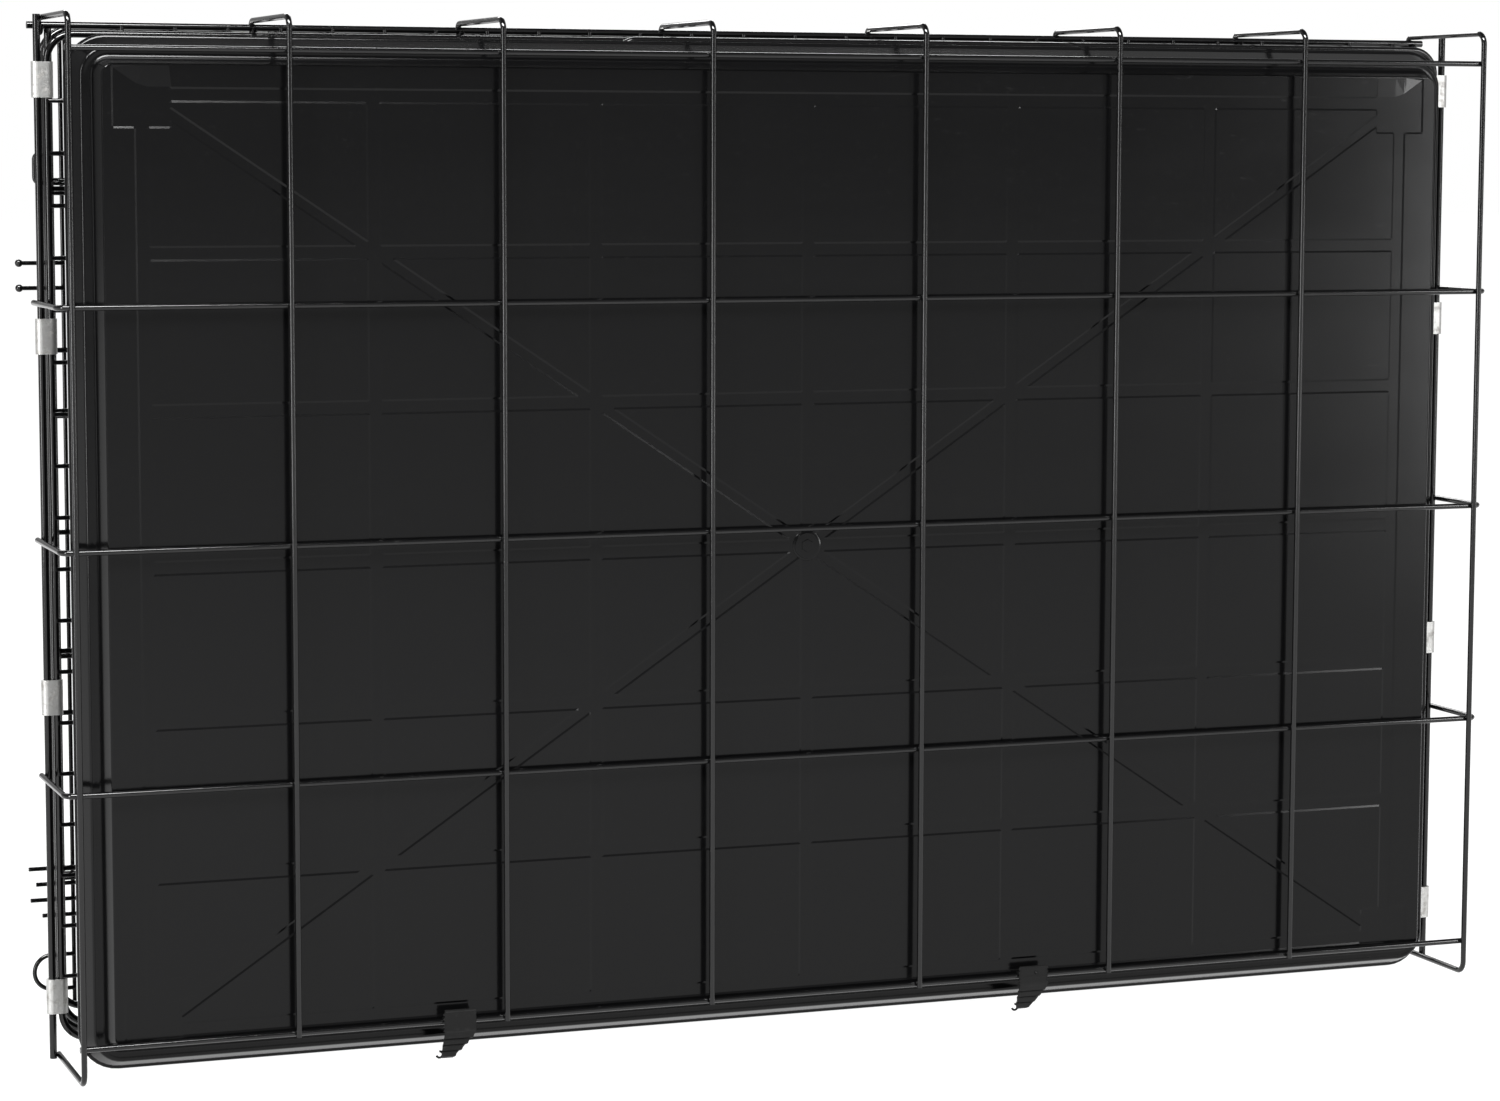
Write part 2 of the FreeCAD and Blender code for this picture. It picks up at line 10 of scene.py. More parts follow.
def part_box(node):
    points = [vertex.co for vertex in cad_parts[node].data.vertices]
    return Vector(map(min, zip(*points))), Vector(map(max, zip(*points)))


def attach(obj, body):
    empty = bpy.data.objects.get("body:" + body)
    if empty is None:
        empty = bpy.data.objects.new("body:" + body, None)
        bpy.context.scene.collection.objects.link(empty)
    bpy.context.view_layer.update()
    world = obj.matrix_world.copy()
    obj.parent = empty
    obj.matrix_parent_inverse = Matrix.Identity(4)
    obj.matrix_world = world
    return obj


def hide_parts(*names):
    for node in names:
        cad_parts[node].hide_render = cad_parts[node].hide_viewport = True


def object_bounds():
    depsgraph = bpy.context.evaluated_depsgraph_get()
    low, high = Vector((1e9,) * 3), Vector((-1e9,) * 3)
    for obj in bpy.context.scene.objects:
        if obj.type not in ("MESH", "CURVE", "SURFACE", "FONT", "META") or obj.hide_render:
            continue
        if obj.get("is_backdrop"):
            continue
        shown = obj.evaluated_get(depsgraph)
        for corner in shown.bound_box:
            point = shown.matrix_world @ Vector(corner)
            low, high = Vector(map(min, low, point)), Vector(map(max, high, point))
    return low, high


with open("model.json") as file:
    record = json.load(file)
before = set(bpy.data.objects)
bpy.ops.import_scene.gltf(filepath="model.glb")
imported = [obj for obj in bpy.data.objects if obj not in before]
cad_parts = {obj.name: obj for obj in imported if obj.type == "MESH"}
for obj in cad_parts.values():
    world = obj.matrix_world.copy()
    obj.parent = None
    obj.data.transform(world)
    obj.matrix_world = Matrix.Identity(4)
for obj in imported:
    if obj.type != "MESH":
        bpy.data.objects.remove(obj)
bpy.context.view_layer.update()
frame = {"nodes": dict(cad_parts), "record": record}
NODES = frame["nodes"]
MM = 0.001

bl_info = {
    "name": "Folding wire crate",
    "version": (1, 0, 0),
    "blender": (4, 5, 0),
    "location": "3D View > Sidebar > Crate",
    "description": "Builds the finer pieces and finishes of a folding wire dog crate",
    "category": "Object",
}


# ---------------------------------------------------------------- materials

class Field:
    """A shader value that can be added, multiplied and compared like a number."""

    def __init__(self, maker, socket):
        self.maker = maker
        self.socket = socket

    def _do(self, operation, *values):
        return self.maker.maths(operation, *values)

    def __add__(self, other):
        return self._do("ADD", self, other)

    def __radd__(self, other):
        return self._do("ADD", other, self)

    def __sub__(self, other):
        return self._do("SUBTRACT", self, other)

    def __rsub__(self, other):
        return self._do("SUBTRACT", other, self)

    def __mul__(self, other):
        return self._do("MULTIPLY", self, other)

    def __rmul__(self, other):
        return self._do("MULTIPLY", other, self)

    def __truediv__(self, other):
        return self._do("DIVIDE", self, other)

    def above(self, edge, soft):
        """0 below edge, 1 above edge + soft, smooth between."""
        node = self.maker.node("ShaderNodeMapRange", interpolation_type="SMOOTHSTEP")
        self.maker.link(self, node.inputs["Value"])
        node.inputs["From Min"].default_value = edge
        node.inputs["From Max"].default_value = edge + soft
        return Field(self.maker, node.outputs["Result"])


class Finish:
    """One material and the nodes that make it."""

    def __init__(self, name, **constants):
        self.material = bpy.data.materials.new(name)
        self.material.use_nodes = True
        self.tree = self.material.node_tree
        self.tree.nodes.clear()
        self.shader = self.node("ShaderNodeBsdfPrincipled")
        output = self.node("ShaderNodeOutputMaterial")
        self.tree.links.new(self.shader.outputs["BSDF"], output.inputs["Surface"])
        for key, value in constants.items():
            self.shader.inputs[key.replace("_", " ")].default_value = value
        self.place = self.node("ShaderNodeTexCoord").outputs["Object"]

    def node(self, kind, **settings):
        made = self.tree.nodes.new(kind)
        for key, value in settings.items():
            setattr(made, key, value)
        return made

    def link(self, value, socket):
        if isinstance(value, Field):
            self.tree.links.new(value.socket, socket)
        elif hasattr(value, "is_output"):
            self.tree.links.new(value, socket)
        else:
            socket.default_value = value

    def maths(self, operation, *values):
        made = self.node("ShaderNodeMath", operation=operation)
        for index, value in enumerate(values):
            self.link(value, made.inputs[index])
        return Field(self, made.outputs[0])

    def noise(self, scale, detail=2.0, roughness=0.5, stretch=None):
        made = self.node("ShaderNodeTexNoise")
        made.inputs["Scale"].default_value = scale
        made.inputs["Detail"].default_value = detail
        made.inputs["Roughness"].default_value = roughness
        self.link(self.stretched(stretch), made.inputs["Vector"])
        return Field(self, made.outputs["Fac"])

    def cells(self, scale):
        made = self.node("ShaderNodeTexVoronoi", feature="F1")
        made.inputs["Scale"].default_value = scale
        self.link(self.place, made.inputs["Vector"])
        return Field(self, made.outputs["Distance"])

    def stretched(self, stretch):
        if stretch is None:
            return self.place
        made = self.node("ShaderNodeMapping")
        made.inputs["Scale"].default_value = stretch
        self.tree.links.new(self.place, made.inputs["Vector"])
        return made.outputs["Vector"]

    def colours(self, amount, first, second):
        made = self.node("ShaderNodeMix", data_type="RGBA")
        self.link(amount, made.inputs[0])
        made.inputs[6].default_value = tuple(first) + (1.0,)
        made.inputs[7].default_value = tuple(second) + (1.0,)
        return made.outputs[2]

    def set(self, key, value):
        self.link(value, self.shader.inputs[key])

    def bumps(self, height, distance):
        made = self.node("ShaderNodeBump")
        made.inputs["Distance"].default_value = distance
        made.inputs["Strength"].default_value = 1.0
        self.link(height, made.inputs["Height"])
        self.tree.links.new(made.outputs["Normal"], self.shader.inputs["Normal"])


def enamel_finish(look):
    """Black electro-coated wire: glossy, a little orange peel, faint dust and handling marks."""
    finish = Finish("black_enamel", IOR=1.5, Specular_IOR_Level=0.42)
    peel = finish.noise(900.0, 2.0)
    cloud = finish.noise(26.0, 4.0)
    dust = finish.noise(140.0, 3.0, 0.7).above(0.56, 0.2)
    finish.set("Base Color", finish.colours(dust * 0.3, look.wire_colour, (0.006, 0.006, 0.006)))
    finish.set("Roughness", 0.06 + cloud * 0.07 + dust * 0.06)
    finish.bumps(peel * 0.5 + cloud * 2.0, 0.00003)
    return finish.material


def galvanised_finish(look):
    """Zinc-coated strip: bright grey with spangle, rolling lines and dull patches."""
    finish = Finish("galvanised", Metallic=0.92, IOR=1.5)
    spangle = finish.cells(420.0)
    rolled = finish.noise(90.0, 3.0, 0.6, (1.0, 1.0, 14.0))
    dull = finish.noise(160.0, 4.0, 0.6).above(0.5, 0.18)
    worn = dull * 0.7 + spangle * 0.2
    finish.set("Base Color", finish.colours(worn, look.zinc_colour, (0.27, 0.26, 0.245)))
    finish.set("Roughness", 0.3 + rolled * 0.16 + dull * 0.16)
    finish.bumps(rolled + spangle * 0.6, 0.00008)
    return finish.material


def pan_finish(look):
    """Black moulded tray: polished skin with flow marks, light scuffs and settled dust."""
    finish = Finish("pan_plastic", IOR=1.5, Specular_IOR_Level=0.18)
    flow = finish.noise(5.0, 3.0, 0.5, (1.0, 1.0, 2.5))
    grain = finish.noise(1400.0, 2.0)
    scuff = finish.noise(60.0, 6.0, 0.7, (1.0, 1.0, 5.0)).above(0.6, 0.16)
    dust = finish.noise(300.0, 4.0, 0.75).above(0.58, 0.2)
    worn = dust * 0.35 + scuff * 0.25
    finish.set("Base Color", finish.colours(worn, look.pan_colour, (0.006, 0.006, 0.006)))
    finish.set("Roughness", 0.1 + flow * 0.1 + scuff * 0.08 + dust * 0.04)
    finish.bumps(grain * 0.12 + flow * 5.0, 0.00003)
    return finish.material


def clip_finish(look):
    """Black nylon clip: satin skin with a fine spark-eroded grain and pale rub marks."""
    finish = Finish("clip_plastic", IOR=1.5, Specular_IOR_Level=0.15)
    grain = finish.noise(2600.0, 2.0)
    rub = finish.noise(240.0, 4.0, 0.7).above(0.57, 0.15)
    finish.set("Base Color", finish.colours(rub * 0.5, look.clip_colour, (0.016, 0.016, 0.016)))
    finish.set("Roughness", 0.34 + grain * 0.12 + rub * 0.1)
    finish.bumps(grain, 0.00005)
    return finish.material


def floor_finish():
    """Plain pale studio paper with the faintest mottling."""
    finish = Finish("studio_floor", Roughness=0.95, Specular_IOR_Level=0.1, Emission_Strength=1.0)
    soft = finish.noise(3.0, 2.0)
    finish.set("Base Color", finish.colours(soft, (0.12, 0.12, 0.12), (0.13, 0.13, 0.13)))
    finish.set("Emission Color", finish.colours(soft, (0.98, 0.98, 0.98), (1.0, 1.0, 1.0)))
    return finish.material


# ---------------------------------------------------------------- helpers

def finished(name, bm, material, body, angle):
    """Turn a bmesh into a named piece that rides on a body; edges sharper than angle stay crisp."""
    bmesh.ops.remove_doubles(bm, verts=bm.verts, dist=0.000001)
    bmesh.ops.recalc_face_normals(bm, faces=bm.faces)
    level = bm.faces.layers.int.get("floor")
    for face in bm.faces:
        face.smooth = not (level and face[level])
    for edge in bm.edges:
        if len(edge.link_faces) == 2 and edge.calc_face_angle(0.0) > math.radians(angle):
            edge.smooth = False
    mesh = bpy.data.meshes.new(name)
    bm.to_mesh(mesh)
    bm.free()
    mesh.materials.append(material)
    piece = bpy.data.objects.new(name, mesh)
    bpy.context.scene.collection.objects.link(piece)
    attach(piece, body)
    return piece


def material_for(slot):
    """The finish of a slot, made once."""
    names = {"black_enamel": enamel_finish, "galvanised": galvanised_finish, "pan_plastic": pan_finish,
             "clip_plastic": clip_finish}
    made = bpy.data.materials.get(slot + "_done")
    if made is None:
        made = names[slot](bpy.context.scene.crate_look)
        made.name = slot + "_done"
    return made


SLOT_OF = {item["node"]: item["material_slot"] for item in frame["record"]["subparts"]}


# ---------------------------------------------------------------- settings

class CrateLook(bpy.types.PropertyGroup):
    wire_colour: bpy.props.FloatVectorProperty(
        name="Wire colour", description="Colour of the enamelled wire", subtype="COLOR", size=3,
        default=(0.0012, 0.0012, 0.0013), min=0.0, max=1.0)
    zinc_colour: bpy.props.FloatVectorProperty(
        name="Sleeve colour", description="Colour of the zinc-coated sleeves", subtype="COLOR", size=3,
        default=(0.5, 0.5, 0.49), min=0.0, max=1.0)
    pan_colour: bpy.props.FloatVectorProperty(
        name="Pan colour", description="Colour of the moulded pan", subtype="COLOR", size=3,
        default=(0.0014, 0.0014, 0.0015), min=0.0, max=1.0)
    clip_colour: bpy.props.FloatVectorProperty(
        name="Clip colour", description="Colour of the pan clips", subtype="COLOR", size=3,
        default=(0.004, 0.004, 0.004), min=0.0, max=1.0)


class CratePan(bpy.types.PropertyGroup):
    wall_run: bpy.props.FloatProperty(
        name="Wall run", description="How far the floor's edge stands in from the skirt", unit="LENGTH",
        default=0.0208, min=0.005, max=0.05)
    corner: bpy.props.FloatProperty(
        name="Corner radius", description="Radius of the corners of the pan's floor", unit="LENGTH",
        default=0.0065, min=0.002, max=0.04)
    channel_pitch_x: bpy.props.FloatProperty(
        name="Channel pitch, long way", description="Between channels along the pan", unit="LENGTH",
        default=0.156, min=0.05, max=0.158)
    channel_pitch_z: bpy.props.FloatProperty(
        name="Channel pitch, short way", description="Between channels across the pan", unit="LENGTH",
        default=0.104, min=0.05, max=0.105)
    channels_aside: bpy.props.FloatProperty(
        name="Channels aside", description="Sideways place of the channels' middle", unit="LENGTH",
        default=-0.002, min=-0.01, max=0.01)
    channels_raised: bpy.props.FloatProperty(
        name="Channels raised", description="Height of the channels' middle over the pan's", unit="LENGTH",
        default=-0.0045, min=-0.01, max=0.01)
    channel_ramp: bpy.props.FloatProperty(
        name="Channel side", description="Run of a channel's sloped side", unit="LENGTH",
        default=0.0014, min=0.0003, max=0.003)
    channel_width: bpy.props.FloatProperty(
        name="Channel width", description="Width of the floor's channels", unit="LENGTH",
        default=0.0075, min=0.002, max=0.02)
    channel_depth: bpy.props.FloatProperty(
        name="Channel depth", description="Depth of the floor's channels", unit="LENGTH",
        default=0.0005, min=0.0002, max=0.002)
    pad: bpy.props.FloatProperty(
        name="Corner pad", description="Side of the sunk pads in the corners", unit="LENGTH",
        default=0.037, min=0.01, max=0.06)


class CrateClip(bpy.types.PropertyGroup):
    tongue: bpy.props.FloatProperty(
        name="Tongue", description="Length of the ribbed tongue", unit="LENGTH",
        default=0.0162, min=0.005, max=0.017)
    lean: bpy.props.FloatProperty(
        name="Lean", description="How far the tongue leans to the left", unit="LENGTH",
        default=0.0095, min=0.0, max=0.02)
    ribs: bpy.props.IntProperty(
        name="Ribs", description="Ribs along the tongue", default=4, min=1, max=6)
    wall: bpy.props.FloatProperty(
        name="Wall", description="Thickness of the clip", unit="LENGTH",
        default=0.0013, min=0.0005, max=0.003)


class CrateStage(bpy.types.PropertyGroup):
    camera_place: bpy.props.FloatVectorProperty(
        name="Camera place", description="Where the camera stands", subtype="TRANSLATION", unit="LENGTH",
        size=3, default=(-0.9726, -2.5566, 0.623))
    camera_lens: bpy.props.FloatProperty(
        name="Lens", description="Focal length in millimetres", default=91.2, min=10.0, max=400.0)
    wall_level: bpy.props.FloatProperty(
        name="Wall level", description="Brightness of the studio's walls", default=0.38, min=0.0, max=2.0)
    ceiling_level: bpy.props.FloatProperty(
        name="Ceiling level", description="Brightness of the studio's ceiling",
        default=0.05, min=0.0, max=2.0)
    light_level: bpy.props.FloatProperty(
        name="Light level", description="Brightness of the studio lights", default=1.0, min=0.0, max=10.0)


# ---------------------------------------------------------------- operators

class CRATE_OT_finishes(bpy.types.Operator):
    """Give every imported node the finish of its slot"""
    bl_idname = "crate.finishes"
    bl_label = "Finishes"

    def execute(self, context):
        for name, node in NODES.items():
            if name not in SLOT_OF:
                raise RuntimeError("no finish is named for " + name)
            for place in node.material_slots:
                place.material = material_for(SLOT_OF[name])
        return {"FINISHED"}


def pushed(verts, half, radius, centre, outset, depth):
    """Move a rounded rectangle's ring outwards by outset and to a depth."""
    for vert in verts:
        x = centre.x + max(-half[0] + radius, min(half[0] - radius, vert.co.x - centre.x))
        z = centre.z + max(-half[1] + radius, min(half[1] - radius, vert.co.z - centre.z))
        away = Vector((vert.co.x - x, 0.0, vert.co.z - z))
        away.normalize()
        vert.co.x += away.x * outset
        vert.co.z += away.z * outset
        vert.co.y = depth


def rounded_floor(bm, half, radius, centre, depth, steps):
    """One face with rounded corners, standing in the XZ plane and facing the front."""
    bmesh.ops.create_grid(bm, x_segments=1, y_segments=1, size=1.0,
                          matrix=Matrix.Rotation(math.radians(90.0), 4, "X"))
    for vert in bm.verts:
        vert.co = Vector((centre.x + vert.co.x * half[0], depth, centre.z + vert.co.z * half[1]))
    bmesh.ops.bevel(bm, geom=list(bm.verts), offset=radius, offset_type="OFFSET", segments=steps,
                    profile=0.5, affect="VERTICES", material=-1)
    return bm.faces[:][0]


def cut_at(bm, faces_of, point, normal):
    """Cut the floor along one plane."""
    faces = faces_of()
    geometry = faces + list({e for f in faces for e in f.edges}) + list({v for f in faces for v in f.verts})
    bmesh.ops.bisect_plane(bm, geom=geometry, dist=0.00001, plane_co=point, plane_no=normal)


class CRATE_OT_pan(bpy.types.Operator):
    """Mould the pan: channelled floor, corner pads, sloped walls, flange and rolled skirt"""
    bl_idname = "crate.pan"
    bl_label = "Pan"

    def execute(self, context):
        sizes = context.scene.crate_pan
        low, high = (Vector(corner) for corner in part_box("pan"))
        centre = (low + high) / 2
        wall = sizes.wall_run
        half = ((high.x - low.x) / 2 - 0.0003 - wall, (high.z - low.z) / 2 - 0.0003 - wall)
        radius = sizes.corner
        front = low.y + 0.0002
        deep = (high.y - low.y - 0.0004) / MM
        bm = bmesh.new()
        floor = rounded_floor(bm, half, radius, centre, front, 8)
        ring = list(floor.edges)
        profile = (
            (0.5, 0.1), (1.0, 0.4), (1.4, 0.9), (5.4, 13.0), (5.9, 13.9), (6.7, 14.3), (7.6, 14.4),
            (9.4, 14.4), (10.2, 14.2), (10.9, 14.2), (11.6, 14.4), (12.2, 14.8), (12.7, 15.4),
            (13.1, 16.2), (18.4, deep - 4.2), (18.7, deep - 3.6), (19.2, deep - 3.3),
            (19.9, deep - 3.1), (20.4, deep - 2.6), (20.75, deep - 1.9), (20.8, deep - 1.2),
            (20.6, deep - 0.5), (20.0, deep), (19.0, deep), (18.2, deep - 0.5), (17.4, deep - 2.6),
            (11.6, 18.6), (10.6, 17.4), (7.2, 17.2), (4.2, 16.0), (0.2, 3.8), (-1.0, 3.0),
        )
        last = (0.0, 0.0)
        scale = wall / (20.8 * MM)
        for outset, depth in profile:
            made = bmesh.ops.extrude_edge_only(bm, edges=ring)["geom"]
            ring = [item for item in made if isinstance(item, bmesh.types.BMEdge)]
            verts = [item for item in made if isinstance(item, bmesh.types.BMVert)]
            grown = last[0] * MM * scale
            pushed(verts, (half[0] + grown, half[1] + grown), radius + grown, centre,
                   (outset - last[0]) * MM * scale, front + depth * MM)
            last = (outset, depth)
        bmesh.ops.contextual_create(bm, geom=ring)
        marker = bm.faces.layers.int.new("floor")
        floor = min(bm.faces, key=lambda face: (round(face.calc_center_median().y, 5), -face.calc_area()))
        floor[marker] = 1

        def floor_faces():
            return [face for face in bm.faces if face[marker] == 1]

        aside = centre.x + sizes.channels_aside
        middle = centre.z + sizes.channels_raised
        pitch_x = sizes.channel_pitch_x
        pitch_z = sizes.channel_pitch_z
        wide = sizes.channel_width / 2
        ramp = sizes.channel_ramp
        up = math.atan2(pitch_z, pitch_x)
        slants = (Vector((-math.sin(up), 0.0, math.cos(up))), Vector((math.sin(up), 0.0, math.cos(up))))
        for step in range(-3, 4):
            for edge in (-wide - ramp, -wide, wide, wide + ramp):
                cut_at(bm, floor_faces, (aside + step * pitch_x + edge, front, middle), (1, 0, 0))
                cut_at(bm, floor_faces, (aside, front, middle + step * pitch_z + edge), (0, 0, 1))
        pad = (sizes.pad / 2, sizes.pad * 0.56)
        for side in (-1, 1):
            for edge in (-1, 1):
                for more in (0.0, ramp):
                    x = aside + side * 3 * pitch_x + edge * (pad[0] + more)
                    z = middle + side * 3 * pitch_z + edge * (pad[1] + more)
                    cut_at(bm, floor_faces, (x, front, middle), (1, 0, 0))
                    cut_at(bm, floor_faces, (aside, front, z), (0, 0, 1))
        slim = wide * 0.75
        for slant in slants:
            for edge in (-slim - ramp, -slim, slim, slim + ramp):
                cut_at(bm, floor_faces, Vector((aside, front, middle)) + slant * edge, slant)

        def fall(distance, reach):
            return max(0.0, min(1.0, 1.0 - (distance - reach) / ramp))

        def hollow(x, z):
            inside = min(fall(abs(x), 3 * pitch_x + wide), fall(abs(z), 3 * pitch_z + wide))
            most = 0.0
            for step in range(-3, 4):
                most = max(most, min(inside, fall(abs(x - step * pitch_x), wide)))
                most = max(most, min(inside, fall(abs(z - step * pitch_z), wide)))
            for slant in slants:
                most = max(most, min(inside, fall(abs(x * slant.x + z * slant.z), slim)))
            for sx in (-1, 1):
                for sz in (-1, 1):
                    most = max(most, min(fall(abs(x - sx * 3 * pitch_x), pad[0]),
                                         fall(abs(z - sz * 3 * pitch_z), pad[1])))
            return most

        rim_verts = {v for e in bm.edges if len({f[marker] for f in e.link_faces}) == 2 for v in e.verts}
        for vert in {v for f in floor_faces() for v in f.verts} - rim_verts:
            vert.co.y += hollow(vert.co.x - aside, vert.co.z - middle) * sizes.channel_depth
        upright = Matrix.Rotation(math.radians(90.0), 4, "X")
        for size, depth, steps in ((0.0118, 0.0026, 48), (0.0102, 0.0036, 48), (0.0052, 0.0046, 6)):
            boss = bmesh.ops.create_cone(
                bm, cap_ends=True, segments=steps, radius1=size, radius2=size * 0.9, depth=depth,
                matrix=Matrix.Translation((aside, front + 0.0014, middle)) @ upright)
            caps = [e for e in {e for v in boss["verts"] for e in v.link_edges}
                    if all(v.co.y < front + 0.0013 for v in e.verts)]
            bmesh.ops.bevel(bm, geom=caps, offset=0.0004, offset_type="OFFSET", segments=2, profile=0.5,
                            affect="EDGES", material=-1)
        bmesh.ops.triangulate(bm, faces=[f for f in bm.faces if f[marker] == 1 or len(f.verts) > 4])
        piece = finished("pan_moulding", bm, material_for("pan_plastic"), "pan_body", 18.0)
        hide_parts("pan")
        return {"FINISHED"}


def strip(bm, width, path, across=6, thick=0.0016):
    """A flat strip that follows a path of (sideways, y, z, share of the width) points."""
    made = bmesh.ops.create_grid(bm, x_segments=across, y_segments=len(path) - 1, size=0.5)
    for vert in made["verts"]:
        index = int(round((vert.co.y + 0.5) * (len(path) - 1)))
        side, y, z, share = path[index]
        vert.co = Vector((side + vert.co.x * width * share, y, z))
    bmesh.ops.recalc_face_normals(bm, faces=bm.faces)
    bmesh.ops.solidify(bm, geom=bm.faces[:], thickness=thick)


def sweep_ring(bm, verts, centre, degrees):
    """Spin a small round outline about a centre into a bent finger."""
    edges = [edge for edge in bm.edges if all(vert in verts for vert in edge.verts)]
    bmesh.ops.rotate(bm, verts=verts, cent=sum((vert.co for vert in verts), Vector()) / len(verts),
                     matrix=Matrix.Rotation(math.radians(90.0), 3, "Y"))
    made = bmesh.ops.spin(bm, geom=edges, cent=centre, axis=(0.0, 1.0, 0.0), angle=math.radians(degrees),
                          steps=12)
    last = [item for item in made["geom_last"] if isinstance(item, bmesh.types.BMEdge)]
    bmesh.ops.holes_fill(bm, edges=edges, sides=0)
    bmesh.ops.holes_fill(bm, edges=last, sides=0)


CURL_RADIUS = 0.0033
ROD_RADIUS = 0.002
ROD_RISE = 0.0254


class CRATE_OT_clips(bpy.types.Operator):
    """Mould the two ribbed clips that hold the pan on the base's lowest rod"""
    bl_idname = "crate.clips"
    bl_label = "Pan clips"

    def execute(self, context):
        sizes = context.scene.crate_clip
        rod = Vector((0.0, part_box("base_long_wires")[0][1] + ROD_RADIUS, ROD_RISE))
        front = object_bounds()[0][1] + 0.0012
        for name, body in (("pan_clip_left", "clip_left"), ("pan_clip_right", "clip_right")):
            low, high = (Vector(corner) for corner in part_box(name))
            centre = (low.x + high.x) / 2
            width = high.x - low.x
            bm = bmesh.new()
            curl = [(centre, rod.y - CURL_RADIUS * math.cos(math.radians(turn)),
                     rod.z + CURL_RADIUS * math.sin(math.radians(turn)), 1.0) for turn in range(-20, 216, 12)]
            strip(bm, width, curl, 4, 0.0012)
            face = front + 0.0012
            path = [(centre, face + 0.0012, rod.z + 0.0072, 0.97),
                    (centre, face + 0.0004, rod.z + 0.0070, 0.99)]
            for step in range(8):
                path.append((centre, face, rod.z + 0.0066 - step * 0.0018, 1.0))
            count = int(sizes.ribs)
            for rib in range(count):
                for part in range(5):
                    share = (rib + part / 5) / count
                    lean = -sizes.lean * share ** 1.1
                    out = -0.0006 - 0.0009 * (part / 4)
                    taper = 1.0 - 0.60 * share ** 1.3
                    path.append((centre + lean, face + out, rod.z - 0.0072 - share * sizes.tongue, taper))
            path.append((centre - sizes.lean, face + 0.0002, rod.z - 0.0074 - sizes.tongue, 0.36))
            strip(bm, width, path, 8, sizes.wall)
            toe = Vector((centre - sizes.lean - width * 0.24, face, rod.z - 0.0058 - sizes.tongue))
            hook = bmesh.ops.create_circle(
                bm, segments=8, radius=0.0008,
                matrix=Matrix.Translation(toe + Vector((0.0, 0.0, 0.0022))))
            sweep_ring(bm, hook["verts"], toe, 250.0)
            for side in (-1, 1):
                for rib in range(5):
                    bmesh.ops.create_cone(
                        bm, cap_ends=True, segments=6, radius1=0.0009, radius2=0.0006, depth=0.0014,
                        matrix=Matrix.Translation((centre + side * width * 0.5, face + 0.0002,
                                                   rod.z + 0.0055 - rib * 0.0028)))
            bmesh.ops.create_uvsphere(
                bm, u_segments=16, v_segments=10, radius=0.0012,
                matrix=Matrix.Translation((centre + 0.002, face - 0.0002, rod.z + 0.0022)))
            piece = finished(name + "_moulding", bm, material_for("clip_plastic"), body, 32.0)
            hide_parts(name)
        return {"FINISHED"}


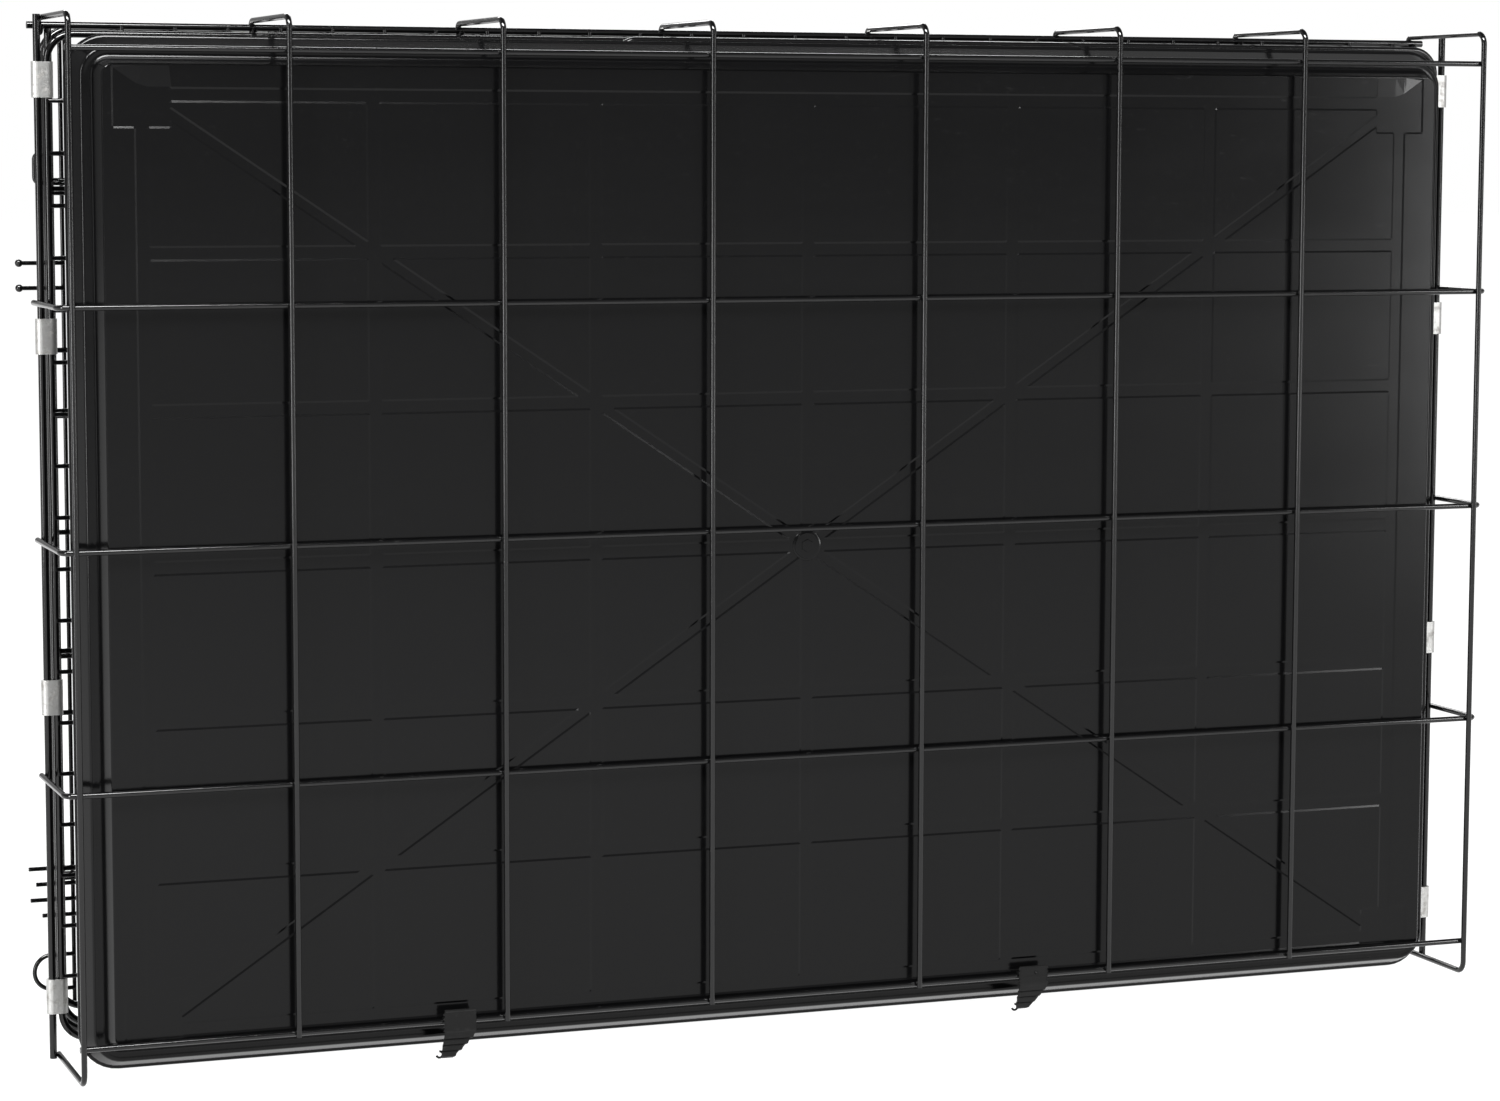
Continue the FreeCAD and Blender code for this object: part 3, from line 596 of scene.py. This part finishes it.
class CRATE_OT_stage(bpy.types.Operator):
    """Lay the pale floor, hang the soft lights and place the camera"""
    bl_idname = "crate.stage"
    bl_label = "Stage"

    def execute(self, context):
        settings = context.scene.crate_stage
        bm = bmesh.new()
        bmesh.ops.create_grid(bm, x_segments=1, y_segments=1, size=30.0)
        bmesh.ops.translate(bm, verts=bm.verts, vec=(0.0, 0.0, -0.0006))
        mesh = bpy.data.meshes.new("studio_floor")
        bm.to_mesh(mesh)
        bm.free()
        mesh.materials.append(floor_finish())
        floor = bpy.data.objects.new("studio_floor", mesh)
        context.scene.collection.objects.link(floor)
        floor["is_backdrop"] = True
        world = bpy.data.worlds.new("studio")
        world.use_nodes = True
        tree = world.node_tree
        tree.nodes.clear()
        place = tree.nodes.new("ShaderNodeTexCoord")
        split = tree.nodes.new("ShaderNodeSeparateXYZ")
        tree.links.new(place.outputs["Generated"], split.inputs["Vector"])
        ramp = tree.nodes.new("ShaderNodeMapRange")
        ramp.interpolation_type = "SMOOTHSTEP"
        ramp.inputs["From Min"].default_value = 0.62
        ramp.inputs["From Max"].default_value = 0.9
        ramp.inputs["To Min"].default_value = settings.wall_level
        ramp.inputs["To Max"].default_value = settings.ceiling_level
        tree.links.new(split.outputs["Z"], ramp.inputs["Value"])
        room = tree.nodes.new("ShaderNodeBackground")
        room.inputs["Color"].default_value = (1.0, 1.0, 1.0, 1.0)
        tree.links.new(ramp.outputs["Result"], room.inputs["Strength"])
        paper = tree.nodes.new("ShaderNodeBackground")
        paper.inputs["Color"].default_value = (1.0, 1.0, 1.0, 1.0)
        paper.inputs["Strength"].default_value = 1.0
        seen = tree.nodes.new("ShaderNodeLightPath")
        mix = tree.nodes.new("ShaderNodeMixShader")
        tree.links.new(seen.outputs["Is Camera Ray"], mix.inputs["Fac"])
        tree.links.new(room.outputs["Background"], mix.inputs[1])
        tree.links.new(paper.outputs["Background"], mix.inputs[2])
        output = tree.nodes.new("ShaderNodeOutputWorld")
        tree.links.new(mix.outputs["Shader"], output.inputs["Surface"])
        context.scene.world = world
        for name, place, target, size, power in (
            ("left_strip", (-3.4, -1.6, 1.0), (0.0, 0.0, 0.35), (0.5, 2.2), 70.0),
            ("right_strip", (2.6, -3.2, 1.0), (0.0, 0.0, 0.35), (0.25, 2.2), 35.0),
            ("top_panel", (-1.0, -1.5, 2.7), (-0.2, 0.0, 0.4), (2.6, 0.8), 330.0),
            ("back_panel", (0.4, 2.8, 2.2), (0.0, 0.0, 0.3), (2.6, 1.0), 60.0),
        ):
            lamp = bpy.data.lights.new(name, "AREA")
            lamp.shape = "RECTANGLE"
            lamp.size, lamp.size_y = size
            lamp.energy = power * settings.light_level
            holder = bpy.data.objects.new(name, lamp)
            holder.location = place
            aim = Vector(target) - Vector(place)
            holder.rotation_euler = aim.to_track_quat("-Z", "Y").to_euler()
            context.scene.collection.objects.link(holder)
        lens = bpy.data.cameras.new("camera")
        lens.lens = settings.camera_lens
        lens.sensor_width = 36.0
        lens.clip_end = 100.0
        camera = bpy.data.objects.new("camera", lens)
        right = Vector((0.93755, -0.34783, 0.00283)).normalized()
        ahead = Vector((0.34618, 0.93225, -0.10522)).normalized()
        up = right.cross(ahead)
        turn = Matrix((right, up, -ahead)).transposed()
        camera.matrix_world = Matrix.Translation(Vector(settings.camera_place)) @ turn.to_4x4()
        context.scene.collection.objects.link(camera)
        context.scene.camera = camera
        context.scene.view_settings.view_transform = "Standard"
        return {"FINISHED"}


class CRATE_PT_panel(bpy.types.Panel):
    """Shows the crate's settings and its building steps in the sidebar"""
    bl_idname = "CRATE_PT_panel"
    bl_label = "Wire crate"
    bl_space_type = "VIEW_3D"
    bl_region_type = "UI"
    bl_category = "Crate"

    def draw(self, context):
        layout = self.layout
        for group in (context.scene.crate_look, context.scene.crate_pan, context.scene.crate_clip,
                      context.scene.crate_stage):
            box = layout.box()
            for key in group.bl_rna.properties.keys():
                if key not in ("rna_type", "name"):
                    box.prop(group, key)
        for step in STEPS:
            layout.operator(step.bl_idname)


STEPS = (CRATE_OT_finishes, CRATE_OT_pan, CRATE_OT_clips, CRATE_OT_stage)
CLASSES = (CrateLook, CratePan, CrateClip, CrateStage) + STEPS + (CRATE_PT_panel,)


def register():
    for item in CLASSES:
        bpy.utils.register_class(item)
    bpy.types.Scene.crate_look = bpy.props.PointerProperty(type=CrateLook)
    bpy.types.Scene.crate_pan = bpy.props.PointerProperty(type=CratePan)
    bpy.types.Scene.crate_clip = bpy.props.PointerProperty(type=CrateClip)
    bpy.types.Scene.crate_stage = bpy.props.PointerProperty(type=CrateStage)


def unregister():
    del bpy.types.Scene.crate_stage
    del bpy.types.Scene.crate_clip
    del bpy.types.Scene.crate_pan
    del bpy.types.Scene.crate_look
    for item in reversed(CLASSES):
        bpy.utils.unregister_class(item)


def main():
    register()
    for step in STEPS:
        group, name = step.bl_idname.split(".")
        getattr(getattr(bpy.ops, group), name)()


if __name__ == "__main__":
    main()
